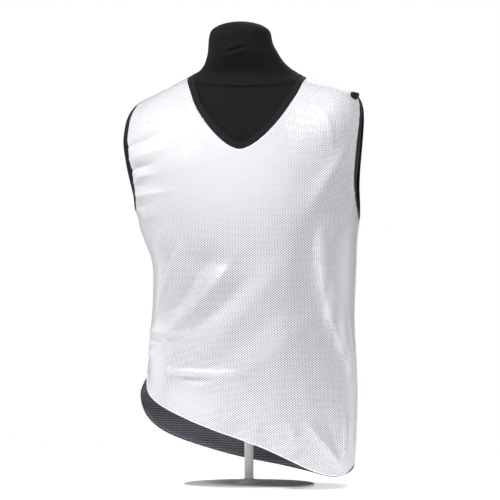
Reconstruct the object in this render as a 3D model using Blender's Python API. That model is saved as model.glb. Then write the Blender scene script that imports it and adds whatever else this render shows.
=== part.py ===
"""A sleeveless mesh training bib with a V neck, worn on a limbless dress form.

The bib has two layers of mesh, white outside and black inside, with one flat
band round the neck and one round each armhole. It hangs from the shoulders of
the form, pulled up at the wearer's right hip so that the back shows below the
front there. The form stands on a slim pole and a round plate.

Metres, +Z up. The front faces -Y, so the wearer's right is -X. The origin is
the middle of the plate's underside. A place on the cloth is given by its turn
round the body in degrees (0 at +X, 90 at the back, 180 at -X, 270 in front)
and its height.
"""

import math
from bisect import bisect_right
from collections import namedtuple
from functools import lru_cache

import bmesh
import bpy
import numpy as np
from mathutils import Vector

# Cloth
LAYER_THICKNESS = 0.0012
LAYER_GAP = 0.0003
SEAM_GAP = 0.0003
REST_GAP = 0.0022
NECK_BAND_WIDTH = 0.0115
ARMHOLE_BAND_WIDTH = 0.0105
BAND_THICKNESS = 0.0026

# Cut of the panels
UNDERARM_HEIGHT = 0.4675
V_HEIGHT = 0.5847
CENTRE_BACK_HEIGHT = 0.7165

# Dress form and stand
FORM_BOTTOM = 0.150
FORM_EDGE_ROUND = 0.010
DOME_BASE = 0.7875
DOME_HEIGHT = 0.0245
POLE_RADIUS = 0.008
COLLAR_RADIUS = 0.018
FLANGE_RADIUS = 0.026
FLANGE_THICKNESS = 0.004
PLATE_RADIUS = 0.115
PLATE_THICKNESS = 0.005
PLATE_EDGE_ROUND = 0.0015
REST_CLEARANCE = 0.0003

# Fineness of the meshes, and the steps used to measure along the surface
HALF_COLUMNS = 11
ROWS_UP = 15
ROWS_DOWN = 12
FRONT_CORNER_ROW = 4
BACK_CORNER_ROW = 8
COLUMN_CROWDING = 1.35
NECKLINE_CROWDING = 1.25
FORM_COLUMNS = 36
STAND_COLUMNS = 32
EDGE_RINGS = 3
DOME_RINGS = 5
DOME_TOP_SHARE = 0.08
NECKLINE_SAMPLES = 60
TURN_STEP = 0.5
HEIGHT_STEP = 0.0005
SHARP_ANGLE = 40

# Each row is a level cut through the form. Its sides are measured from the centre.
Ring = namedtuple("Ring", "height right_side left_side front back squareness centre_x centre_y")
FORM_RINGS = (
    Ring(0.1500, 0.1500, 0.1500, 0.096, 0.104, 2.30, 0.0, 0.0),
    Ring(0.2000, 0.1490, 0.1490, 0.098, 0.103, 2.30, 0.0, 0.0),
    Ring(0.2500, 0.1420, 0.1420, 0.094, 0.090, 2.30, 0.0, 0.0),
    Ring(0.3000, 0.1390, 0.1390, 0.092, 0.083, 2.30, 0.0, 0.0),
    Ring(0.3500, 0.1430, 0.1430, 0.096, 0.085, 2.30, 0.0, 0.0),
    Ring(0.4000, 0.1550, 0.1550, 0.104, 0.092, 2.35, 0.0, 0.0),
    Ring(0.4500, 0.1730, 0.1710, 0.112, 0.101, 2.40, 0.0, 0.0),
    Ring(0.5000, 0.1910, 0.1840, 0.117, 0.108, 2.40, 0.0, 0.0),
    Ring(0.5500, 0.2060, 0.1910, 0.116, 0.112, 2.40, 0.0, 0.0),
    Ring(0.6000, 0.2110, 0.1960, 0.107, 0.112, 2.35, 0.0, 0.0),
    Ring(0.6400, 0.2080, 0.1980, 0.094, 0.106, 2.30, 0.0, 0.0),
    Ring(0.6600, 0.1990, 0.1965, 0.085, 0.098, 2.25, 0.0, 0.0),
    Ring(0.6710, 0.1860, 0.1930, 0.079, 0.093, 2.20, 0.0, 0.0),
    Ring(0.6850, 0.1590, 0.1820, 0.071, 0.085, 2.10, 0.0, 0.0),
    Ring(0.6980, 0.1337, 0.1420, 0.064, 0.077, 2.10, 0.0, 0.0),
    Ring(0.7114, 0.1070, 0.0970, 0.057, 0.068, 2.05, 0.0, 0.0),
    Ring(0.7200, 0.0910, 0.0850, 0.054, 0.061, 2.00, -0.0015, -0.001),
    Ring(0.7310, 0.0770, 0.0750, 0.055, 0.059, 2.00, -0.0040, -0.004),
    Ring(0.7455, 0.0663, 0.0663, 0.057, 0.058, 2.00, -0.0077, -0.008),
    Ring(0.7560, 0.0619, 0.0619, 0.057, 0.058, 2.00, -0.0090, -0.011),
    Ring(0.7770, 0.0556, 0.0556, 0.054, 0.056, 2.00, -0.0130, -0.014),
    Ring(0.7875, 0.0540, 0.0540, 0.053, 0.055, 2.00, -0.0130, -0.015),
)

# How far the cloth stands off the form, level by level.
Ease = namedtuple("Ease", "height right_side left_side front back")
CLOTH_EASE = (
    Ease(0.0300, 0.0300, 0.0330, 0.0260, 0.0240),
    Ease(0.1000, 0.0320, 0.0370, 0.0280, 0.0240),
    Ease(0.1550, 0.0310, 0.0380, 0.0300, 0.0230),
    Ease(0.2000, 0.0250, 0.0380, 0.0300, 0.0230),
    Ease(0.2800, 0.0280, 0.0430, 0.0390, 0.0360),
    Ease(0.3500, 0.0220, 0.0410, 0.0370, 0.0360),
    Ease(0.4000, 0.0125, 0.0310, 0.0270, 0.0280),
    Ease(0.4450, 0.0155, 0.0175, 0.0140, 0.0170),
    Ease(0.4690, 0.0115, 0.0150, 0.0100, 0.0120),
    Ease(0.5000, 0.0130, 0.0080, 0.0060, 0.0070),
    Ease(0.5300, 0.0175, 0.0035, 0.0040, 0.0040),
    Ease(0.5700, 0.0290, 0.0025, 0.0020, 0.0020),
    Ease(0.6000, 0.0305, 0.0025, 0.0010, 0.0010),
    Ease(0.6200, 0.0235, 0.0022, 0.0005, 0.0005),
    Ease(0.6400, 0.0150, 0.0020, 0.0000, 0.0000),
    Ease(0.6600, 0.0045, 0.0000, 0.0000, 0.0000),
    Ease(0.6750, 0.0000, 0.0000, 0.0000, 0.0000),
)

# Each armhole is an oval on the cloth. A reach is how far it turns to the front or the back.
Armhole = namedtuple("Armhole", "bottom top front_reach back_reach")
ARMHOLES = {
    "right": Armhole(0.4690, 0.6730, 37.0, 26.0),
    "left": Armhole(0.4660, 0.6860, 17.0, 19.0),
}

# Where the neckline crosses each shoulder.
NECK_POINT_HEIGHT = {"right": 0.7142, "left": 0.7103}

# The front neckline, from the point of the V to just before the shoulder.
NecklinePoint = namedtuple("NecklinePoint", "half_width height")
NECKLINE = (
    NecklinePoint(0.0000, V_HEIGHT),
    NecklinePoint(0.0150, 0.5890),
    NecklinePoint(0.0272, 0.5970),
    NecklinePoint(0.0425, 0.6100),
    NecklinePoint(0.0589, 0.6280),
    NecklinePoint(0.0754, 0.6500),
    NecklinePoint(0.0880, 0.6720),
    NecklinePoint(0.0975, 0.6930),
    NecklinePoint(0.1005, 0.7040),
)

# The height of the hem, turn by turn: pulled up at the wearer's right hip.
HemPoint = namedtuple("HemPoint", "turn height")
HEM = (
    HemPoint(0, 0.0446),
    HemPoint(30, 0.0183),
    HemPoint(45, 0.0107),
    HemPoint(60, 0.0180),
    HemPoint(90, 0.0379),
    HemPoint(120, 0.0637),
    HemPoint(150, 0.0918),
    HemPoint(163, 0.1080),
    HemPoint(170, 0.1340),
    HemPoint(175, 0.1690),
    HemPoint(180, 0.1990),
    HemPoint(187, 0.2070),
    HemPoint(192, 0.1900),
    HemPoint(196, 0.1765),
    HemPoint(200, 0.1690),
    HemPoint(210, 0.1575),
    HemPoint(220, 0.1470),
    HemPoint(230, 0.1380),
    HemPoint(240, 0.1280),
    HemPoint(250, 0.1163),
    HemPoint(270, 0.0906),
    HemPoint(290, 0.0606),
    HemPoint(305, 0.0395),
    HemPoint(320, 0.0256),
    HemPoint(335, 0.0250),
    HemPoint(350, 0.0375),
    HemPoint(360, 0.0446),
)

# Each row is one fold: the start, middle and end of its ridge, how far it
# rises and the half width over which it fades.
Fold = namedtuple(
    "Fold", "turn_1 height_1 turn_2 height_2 turn_3 height_3 rise half_width"
)
FOLDS = (
    Fold(316, 0.455, 326, 0.315, 350, 0.180, 0.0090, 0.021),
    Fold(230, 0.430, 221, 0.375, 200, 0.265, 0.0080, 0.016),
    Fold(206, 0.225, 232, 0.300, 262, 0.400, 0.0070, 0.020),
    Fold(214, 0.200, 250, 0.245, 290, 0.360, 0.0070, 0.022),
    Fold(222, 0.165, 262, 0.200, 318, 0.300, 0.0070, 0.022),
    Fold(235, 0.130, 275, 0.160, 325, 0.230, 0.0060, 0.020),
    Fold(194, 0.270, 201, 0.240, 212, 0.215, 0.0060, 0.022),
    Fold(256, 0.180, 250, 0.140, 252, 0.100, 0.0050, 0.016),
    Fold(285, 0.150, 277, 0.110, 275, 0.070, 0.0050, 0.016),
    Fold(310, 0.110, 320, 0.070, 333, 0.025, 0.0060, 0.015),
    Fold(342, 0.140, 339, 0.080, 336, 0.020, 0.0060, 0.015),
    Fold(338, 0.570, 312, 0.490, 297, 0.420, 0.0040, 0.020),
    Fold(203, 0.560, 220, 0.490, 232, 0.420, 0.0040, 0.018),
    Fold(197, 0.475, 212, 0.485, 232, 0.505, 0.0040, 0.014),
    Fold(175, 0.170, 172, 0.150, 167, 0.128, 0.0225, 0.028),
    Fold(150, 0.470, 140, 0.360, 125, 0.250, 0.0070, 0.020),
    Fold(100, 0.500, 97, 0.380, 92, 0.220, 0.0050, 0.020),
    Fold(60, 0.480, 55, 0.360, 48, 0.200, 0.0070, 0.018),
    Fold(160, 0.240, 135, 0.200, 100, 0.150, 0.0060, 0.022),
    Fold(30, 0.450, 25, 0.330, 20, 0.180, 0.0060, 0.016),
    Fold(75, 0.200, 72, 0.120, 70, 0.050, 0.0050, 0.016),
    Fold(120, 0.200, 118, 0.140, 115, 0.080, 0.0050, 0.016),
)
FOLD_SAMPLES = 48
FOLD_END_FADE = 0.6
FOLD_TIP = 0.01
ARC_PER_DEGREE = 0.0028

# The form's rings, from the flat edge round up to the dome: how many between two heights.
Span = namedtuple("Span", "bottom top rings")
FORM_SPANS = (
    Span(FORM_BOTTOM + FORM_EDGE_ROUND, 0.460, 9),
    Span(0.460, 0.650, 7),
    Span(0.650, 0.731, 11),
    Span(0.731, DOME_BASE, 4),
)

# The seam that each side's front and back panel share, and the way from it to the front centre.
SEAM_TURN = {"right": 180, "left": 0}
FRONTWARD = {"right": 1, "left": -1}
FACE_SIGN = {"front": -1, "back": 1}

Section = namedtuple(
    "Section", "right_side left_side front back squareness centre_x centre_y"
)


class Curve:
    """A smooth curve through values at rising keys, level past both ends, with no overshoot."""

    def __init__(self, keys, values):
        self.keys = keys
        self.values = values
        rises = [
            (values[i + 1] - values[i]) / (keys[i + 1] - keys[i])
            for i in range(len(keys) - 1)
        ]
        middle = [self.shared_slope(a, b) for a, b in zip(rises, rises[1:])]
        self.slopes = [rises[0], *middle, rises[-1]]

    @staticmethod
    def shared_slope(before, after):
        if before * after <= 0:
            return 0.0
        return 2 * before * after / (before + after)

    def __call__(self, key):
        key = min(max(key, self.keys[0]), self.keys[-1])
        i = min(bisect_right(self.keys, key), len(self.keys) - 1) - 1
        step = self.keys[i + 1] - self.keys[i]
        t = (key - self.keys[i]) / step
        rise = self.values[i + 1] - self.values[i]
        bend = self.slopes[i] * (1 - t) - self.slopes[i + 1] * t
        return self.values[i] + rise * t * t * (3 - 2 * t) + step * t * (1 - t) * bend


def curves_of(rows):
    """A curve for each column of a table, along its first column."""
    keys = [row[0] for row in rows]
    return {
        column: Curve(keys, [getattr(row, column) for row in rows])
        for column in rows[0]._fields[1:]
    }


FORM = curves_of(FORM_RINGS)
EASE = curves_of(CLOTH_EASE)
HEM_HEIGHT = curves_of(HEM)["height"]


@lru_cache(maxsize=None)
def form_section(height):
    return Section(**{column: curve(height) for column, curve in FORM.items()})


@lru_cache(maxsize=None)
def cloth_section(height):
    """The form's section at this height, let out by the cloth's ease."""
    body = form_section(height)
    return body._replace(
        **{column: getattr(body, column) + curve(height) for column, curve in EASE.items()}
    )


def section_point(section, turn, height):
    across = math.cos(math.radians(turn))
    deep = math.sin(math.radians(turn))
    power = 2 / section.squareness
    half_width = section.left_side if across > 0 else section.right_side
    depth = section.back if deep > 0 else section.front
    x = section.centre_x + half_width * math.copysign(abs(across) ** power, across)
    y = section.centre_y + depth * math.copysign(abs(deep) ** power, deep)
    return Vector((x, y, height))


def base_point(turn, height):
    """A point of the smooth surface that the cloth's folds rise from."""
    return section_point(cloth_section(height), turn, height)


def outward(turn, height):
    """The direction straight out of the smooth surface."""
    around = base_point(turn + TURN_STEP, height) - base_point(turn - TURN_STEP, height)
    up = base_point(turn, height + HEIGHT_STEP) - base_point(turn, height - HEIGHT_STEP)
    return around.cross(up).normalized()


def place_of(point):
    """The turn and height of the smooth surface level with a point near it."""
    section = cloth_section(point.z)
    x = point.x - section.centre_x
    y = point.y - section.centre_y
    half_width = section.left_side if x > 0 else section.right_side
    depth = section.back if y > 0 else section.front
    power = section.squareness / 2
    across = math.copysign((abs(x) / half_width) ** power, x)
    deep = math.copysign((abs(y) / depth) ** power, y)
    return math.degrees(math.atan2(deep, across)) % 360, point.z


def fold_path(fold):
    """Points along a fold's ridge, as turns and heights, with its strength at each."""
    t = np.linspace(0, 1, FOLD_SAMPLES)
    start = (1 - t) * (1 - 2 * t)
    middle = 4 * t * (1 - t)
    end = t * (2 * t - 1)
    turns = start * fold.turn_1 + middle * fold.turn_2 + end * fold.turn_3
    heights = start * fold.height_1 + middle * fold.height_2 + end * fold.height_3
    strength = np.sin(np.pi * np.clip(t, FOLD_TIP, 1 - FOLD_TIP)) ** FOLD_END_FADE
    return turns, heights, strength * fold.rise, fold.half_width


FOLD_PATHS = [fold_path(fold) for fold in FOLDS]


@lru_cache(maxsize=None)
def fold_lift(turn, height):
    """How far the folds raise the cloth here."""
    lift = 0.0
    for turns, heights, rises, half_width in FOLD_PATHS:
        sideways = ((turns - turn + 180) % 360 - 180) * ARC_PER_DEGREE
        nearness = np.exp(-(sideways**2 + (heights - height) ** 2) / half_width**2)
        lift += float(np.max(nearness * rises))
    return lift


def cloth_point(turn, height, depth):
    """A point of the folded cloth, this far out from its inner face and never on the form."""
    base = base_point(turn, height)
    normal = outward(turn, height)
    body = section_point(form_section(height), turn, height)
    room = (base - body).dot(normal)
    lift = max(fold_lift(turn, height), REST_GAP - room)
    return base + normal * (lift + depth)


def armhole_edge(face, side):
    """The edge of a panel round its armhole, from the underarm to the shoulder."""
    hole = ARMHOLES[side]
    reach = {"front": hole.front_reach, "back": -hole.back_reach}[face]
    places = []
    for row in range(ROWS_UP + 1):
        swing = math.pi * row / ROWS_UP
        turn = SEAM_TURN[side] + FRONTWARD[side] * reach * math.sin(swing)
        rise = (1 - math.cos(swing)) / 2
        places.append((turn % 360, hole.bottom + (hole.top - hole.bottom) * rise))
    return places


def turn_at(face, side, half_width, height):
    """The turn of the smooth surface this far out from the middle, on one face and side."""
    section = cloth_section(height)
    reach = section.right_side if side == "right" else section.left_side
    across = min(half_width / reach, 1.0) ** (section.squareness / 2)
    offset = math.degrees(math.acos(across))
    toward = FRONTWARD[side] if face == "front" else -FRONTWARD[side]
    return SEAM_TURN[side] + toward * offset


def neckline(face, side):
    """Places along a neckline, from the centre of the panel to the shoulder."""
    shoulder = NECK_POINT_HEIGHT[side]
    if face == "front":
        points = [(turn_at(face, side, *point), point.height) for point in NECKLINE]
        points.append((SEAM_TURN[side], shoulder))
        keys = list(range(len(points)))
        turn = Curve(keys, [point[0] for point in points])
        height = Curve(keys, [point[1] for point in points])
        steps = np.linspace(0, keys[-1], NECKLINE_SAMPLES + 1)
        return [(turn(k), height(k)) for k in steps]
    places = []
    for offset in np.linspace(90, 0, NECKLINE_SAMPLES + 1):
        rise = (CENTRE_BACK_HEIGHT - shoulder) * math.sin(math.radians(offset))
        places.append((SEAM_TURN[side] - FRONTWARD[side] * offset, shoulder + rise))
    return places


def spaced(places, count, crowding):
    """Places at count + 1 distances along a path, closer together at its start."""
    points = [base_point(*place) for place in places]
    lengths = [0.0]
    for before, after in zip(points, points[1:]):
        lengths.append(lengths[-1] + (after - before).length)
    wanted = [lengths[-1] * (i / count) ** crowding for i in range(count + 1)]
    turns = np.interp(wanted, lengths, [turn for turn, _ in places])
    heights = np.interp(wanted, lengths, [height for _, height in places])
    return [(float(turn) % 360, float(height)) for turn, height in zip(turns, heights)]


def neck_edge(face, side):
    """The inner edge of half a panel: up the centre from underarm level, then along the neckline."""
    corner = FRONT_CORNER_ROW if face == "front" else BACK_CORNER_ROW
    crowding = NECKLINE_CROWDING if face == "front" else 1.0
    curve = spaced(neckline(face, side), ROWS_UP - corner, crowding)
    centre_turn, top = curve[0]
    rise = (top - UNDERARM_HEIGHT) / corner
    centre = [(centre_turn, UNDERARM_HEIGHT + rise * row) for row in range(corner)]
    return centre + curve


def column_shares():
    """How far each column lies from the seam to the centre, closer together at the seam."""
    shares = []
    for column in range(HALF_COLUMNS + 1):
        offset = math.radians(90) * (column / HALF_COLUMNS) ** COLUMN_CROWDING
        shares.append(math.sin(offset) / (math.sin(offset) + math.cos(offset)))
    return shares


def half_panel(face, side):
    """Rows of places over half a panel, from the hem to the shoulder and from the seam in."""
    upper = []
    for outer, inner in zip(armhole_edge(face, side), neck_edge(face, side)):
        start = base_point(*outer)
        end = base_point(*inner)
        upper.append([place_of(start.lerp(end, share)) for share in column_shares()])
    lower = []
    for row in range(ROWS_DOWN, 0, -1):
        share = row / ROWS_DOWN
        lower.append(
            [(turn, height + (HEM_HEIGHT(turn) - height) * share) for turn, height in upper[0]]
        )
    return lower + upper


def panel_grid(face):
    """The places of a whole panel by name, and the four corners of each of its cells."""
    corner = FRONT_CORNER_ROW if face == "front" else BACK_CORNER_ROW
    places = {}
    cells = []

    def name(side, row, column):
        shared = column == HALF_COLUMNS and row <= ROWS_DOWN + corner
        return ("centre", row, column) if shared else (side, row, column)

    for side in SEAM_TURN:
        rows = half_panel(face, side)
        for row, row_places in enumerate(rows):
            for column, place in enumerate(row_places):
                places.setdefault(name(side, row, column), place)
        for row in range(len(rows) - 1):
            for column in range(HALF_COLUMNS):
                cells.append(
                    (
                        name(side, row, column),
                        name(side, row, column + 1),
                        name(side, row + 1, column + 1),
                        name(side, row + 1, column),
                    )
                )
    return places, cells


def triangles_of(places, cells):
    """Each cell split along its shorter diagonal, the same way in every layer."""
    points = {name: cloth_point(*place, 0.0) for name, place in places.items()}
    triangles = []
    for a, b, c, d in cells:
        if (points[a] - points[c]).length < (points[b] - points[d]).length:
            triangles += [(a, b, c), (a, c, d)]
        else:
            triangles += [(a, b, d), (b, c, d)]
    return triangles


def material(name, colour, roughness, metallic=0.0):
    made = bpy.data.materials.new(name)
    made.use_nodes = True
    shader = made.node_tree.nodes["Principled BSDF"]
    shader.inputs["Base Color"].default_value = (*colour, 1.0)
    shader.inputs["Roughness"].default_value = roughness
    shader.inputs["Metallic"].default_value = metallic
    return made


def add_object(name, bm, finish, parent):
    """Turns a bmesh into an object with smooth faces and sharp rims."""
    bmesh.ops.recalc_face_normals(bm, faces=bm.faces)
    mesh = bpy.data.meshes.new(name)
    bm.to_mesh(mesh)
    bm.free()
    mesh.shade_smooth()
    mesh.set_sharp_from_angle(angle=math.radians(SHARP_ANGLE))
    mesh.materials.append(finish)
    made = bpy.data.objects.new(name, mesh)
    made.parent = parent
    bpy.context.scene.collection.objects.link(made)
    return made


def add_panel(name, face, layer, finish, parent):
    """One layer of the front or back, a wall of even thickness over the panel's places."""
    inner_depth = layer * (LAYER_THICKNESS + LAYER_GAP)
    seam_shift = Vector((0, FACE_SIGN[face] * SEAM_GAP / 2, 0))
    places, cells = panel_grid(face)
    triangles = triangles_of(places, cells)
    bm = bmesh.new()

    def sheet(depth):
        made = {}
        for key, place in places.items():
            made[key] = bm.verts.new(cloth_point(*place, depth) + seam_shift)
        return made

    outside = sheet(inner_depth + LAYER_THICKNESS)
    for corners in triangles:
        bm.faces.new([outside[key] for key in corners])
    key_of = {vert: key for key, vert in outside.items()}
    rim = [[key_of[vert] for vert in edge.verts] for edge in bm.edges if edge.is_boundary]
    inside = sheet(inner_depth)
    for corners in triangles:
        bm.faces.new([inside[key] for key in reversed(corners)])
    for start, end in rim:
        bm.faces.new((outside[start], outside[end], inside[end], inside[start]))
    return add_object(name, bm, finish, parent)


def add_loft(name, loops, joined, finish, parent):
    """A skin over loops of points, which joins its last loop to its first or caps both ends."""
    bm = bmesh.new()
    rings = [[bm.verts.new(point) for point in loop] for loop in loops]
    count = len(rings[0])
    following = rings[1:] + rings[:1] if joined else rings[1:]
    for near, far in zip(rings, following):
        for i in range(count):
            j = (i + 1) % count
            bm.faces.new((near[i], near[j], far[j], far[i]))
    if not joined:
        bm.faces.new(rings[0])
        bm.faces.new(rings[-1])
    return add_object(name, bm, finish, parent)


def band_loops(path, width):
    """Cross sections of a band laid on the cloth's surface, on the inner side of a closed path."""
    loops = []
    for i, place in enumerate(path):
        along = base_point(*path[(i + 1) % len(path)]) - base_point(*path[i - 1])
        inward = along.cross(outward(*place)).normalized()
        under = []
        over = []
        for share in (0.0, 0.5, 1.0):
            spot = place_of(base_point(*place) + inward * (SEAM_GAP + width * share))
            under.append(cloth_point(*spot, 0.0))
            over.append(cloth_point(*spot, BAND_THICKNESS))
        loops.append(under + over[::-1])
    return loops


def neck_path():
    """Round the neckline from the V, by the wearer's right shoulder, the back and the left."""
    front_right = neck_edge("front", "right")[FRONT_CORNER_ROW:]
    back_right = neck_edge("back", "right")[BACK_CORNER_ROW:]
    back_left = neck_edge("back", "left")[BACK_CORNER_ROW:]
    front_left = neck_edge("front", "left")[FRONT_CORNER_ROW:]
    return front_right[:-1] + back_right[:0:-1] + back_left[:-1] + front_left[:0:-1]


def armhole_path(side):
    """Round an armhole from the underarm, with the opening always on the same hand."""
    rising, falling = {"left": ("front", "back"), "right": ("back", "front")}[side]
    return armhole_edge(rising, side)[:-1] + armhole_edge(falling, side)[:0:-1]


def circle(radius, height):
    points = []
    for i in range(STAND_COLUMNS):
        angle = math.tau * i / STAND_COLUMNS
        points.append(Vector((radius * math.cos(angle), radius * math.sin(angle), height)))
    return points


def form_ring(height, level, inset=0.0, scale=1.0):
    """The form's section at one height, drawn at a level, pulled in by an inset or a scale."""
    section = form_section(height)
    section = section._replace(
        right_side=section.right_side * scale - inset,
        left_side=section.left_side * scale - inset,
        front=section.front * scale - inset,
        back=section.back * scale - inset,
    )
    turns = [360 * i / FORM_COLUMNS for i in range(FORM_COLUMNS)]
    return [section_point(section, turn, level) for turn in turns]


def form_loops():
    """The bust from its rounded lower edge to its domed neck."""
    loops = []
    for i in range(EDGE_RINGS):
        angle = math.radians(90) * i / EDGE_RINGS
        inset = FORM_EDGE_ROUND * (1 - math.sin(angle))
        level = FORM_BOTTOM + FORM_EDGE_ROUND * (1 - math.cos(angle))
        loops.append(form_ring(FORM_BOTTOM, level, inset=inset))
    for span in FORM_SPANS:
        for i in range(span.rings):
            height = span.bottom + (span.top - span.bottom) * i / span.rings
            loops.append(form_ring(height, height))
    for i in range(DOME_RINGS):
        angle = math.radians(90) * i / DOME_RINGS
        level = DOME_BASE + DOME_HEIGHT * math.sin(angle)
        loops.append(form_ring(DOME_BASE, level, scale=math.cos(angle)))
    loops.append(form_ring(DOME_BASE, DOME_BASE + DOME_HEIGHT, scale=DOME_TOP_SHARE))
    return loops


def add_bib(parent):
    white_mesh = material("white tricot mesh", (0.82, 0.82, 0.85), 0.55)
    black_mesh = material("black tricot mesh", (0.045, 0.047, 0.055), 0.70)
    black_band = material("black rib binding", (0.020, 0.019, 0.025), 0.75)
    for face in ("front", "back"):
        add_panel(face + "_inner", face, 0, black_mesh, parent)
        add_panel(face + "_outer", face, 1, white_mesh, parent)
    neck = band_loops(neck_path(), NECK_BAND_WIDTH)
    add_loft("neck_band", neck, True, black_band, parent)
    for side in ARMHOLES:
        loops = band_loops(armhole_path(side), ARMHOLE_BAND_WIDTH)
        add_loft("armhole_band_" + side, loops, True, black_band, parent)


def add_dress_form(parent):
    jersey = material("black jersey cover", (0.014, 0.014, 0.014), 0.85)
    add_loft("dress_form", form_loops(), False, jersey, parent)


def add_stand(parent):
    painted_steel = material("white painted steel", (0.80, 0.80, 0.80), 0.40)
    plate_edge = PLATE_THICKNESS - PLATE_EDGE_ROUND
    plate = [
        circle(PLATE_RADIUS, 0.0),
        circle(PLATE_RADIUS, plate_edge),
        circle(PLATE_RADIUS - PLATE_EDGE_ROUND, PLATE_THICKNESS),
    ]
    add_loft("stand_base", plate, False, painted_steel, parent)
    pole_foot = PLATE_THICKNESS + REST_CLEARANCE
    pole_top = FORM_BOTTOM - REST_CLEARANCE
    pole = [
        circle(COLLAR_RADIUS, pole_foot),
        circle(COLLAR_RADIUS, pole_foot + FLANGE_THICKNESS),
        circle(POLE_RADIUS, pole_foot + 2 * FLANGE_THICKNESS),
        circle(POLE_RADIUS, pole_top - 2 * FLANGE_THICKNESS),
        circle(FLANGE_RADIUS, pole_top - FLANGE_THICKNESS),
        circle(FLANGE_RADIUS, pole_top),
    ]
    add_loft("stand_pole", pole, False, painted_steel, parent)


def main():
    for old in list(bpy.data.objects):
        bpy.data.objects.remove(old)
    bib = bpy.data.objects.new("training_bib", None)
    bpy.context.scene.collection.objects.link(bib)
    add_bib(bib)
    add_dress_form(bib)
    add_stand(bib)


main()
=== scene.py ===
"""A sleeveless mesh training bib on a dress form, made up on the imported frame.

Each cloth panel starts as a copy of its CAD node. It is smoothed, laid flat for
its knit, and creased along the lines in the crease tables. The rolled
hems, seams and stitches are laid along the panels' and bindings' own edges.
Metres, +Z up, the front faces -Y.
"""

import math
from collections import namedtuple

import bmesh
import bpy
import numpy as np
from bpy.props import FloatProperty, FloatVectorProperty, IntProperty, PointerProperty
from mathutils import Matrix, Vector, noise
from mathutils.bvhtree import BVHTree
from mathutils.kdtree import KDTree


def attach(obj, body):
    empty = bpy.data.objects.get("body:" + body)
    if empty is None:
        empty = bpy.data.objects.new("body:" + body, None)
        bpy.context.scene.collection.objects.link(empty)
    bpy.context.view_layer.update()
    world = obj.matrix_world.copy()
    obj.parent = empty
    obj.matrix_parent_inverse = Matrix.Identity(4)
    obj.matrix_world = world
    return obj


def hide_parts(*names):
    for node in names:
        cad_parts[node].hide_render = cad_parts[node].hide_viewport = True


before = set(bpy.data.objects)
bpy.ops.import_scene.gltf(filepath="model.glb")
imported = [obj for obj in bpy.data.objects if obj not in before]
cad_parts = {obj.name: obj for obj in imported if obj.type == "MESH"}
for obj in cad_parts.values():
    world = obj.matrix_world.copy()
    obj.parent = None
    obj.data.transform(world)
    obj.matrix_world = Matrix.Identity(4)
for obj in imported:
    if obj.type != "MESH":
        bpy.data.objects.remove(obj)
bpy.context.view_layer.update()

bl_info = {
    "name": "Mesh training bib",
    "version": (1, 0, 0),
    "blender": (4, 5, 0),
    "location": "3D View > Sidebar > Bib",
    "description": "Sews and finishes a mesh training bib on a dress form",
    "category": "Object",
}

# The CAD's own cloth sizes, which the copies are cut by.
WALL = 0.0012
WALL_TOLERANCE = 0.00005
# Corners of the CAD's loose triangles that are this near are one corner.
SAME_CORNER = 0.00001
# The heights from which an edge belongs to the shoulders, and of the body's middle there.
SHOULDERS_FROM = 0.66
SHOULDER_MIDDLE = 0.60
# Two triangles join into a quad up to this bend between them and this skew of the quad.
QUAD_BEND = math.radians(60)
QUAD_SKEW = math.radians(80)
# An edge of a binding that bends more than this is a fold, and stays one.
FOLD_BEND = math.radians(45)
# The side and shoulder seams lie this near the plane between front and back.
SEAM_REACH = 0.0015

# A place is given by its turn round the body in degrees (0 at +X, 90 at the
# back, 180 at -X, 270 in front) and its height. The turn is read on an oval of
# these half widths, on which a degree is about this long.
Oval = namedtuple("Oval", "wide deep degree")
CLOTH_OVAL = Oval(0.185, 0.125, 0.0028)
NECK_OVAL = Oval(0.065, 0.065, 0.00115)
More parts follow.
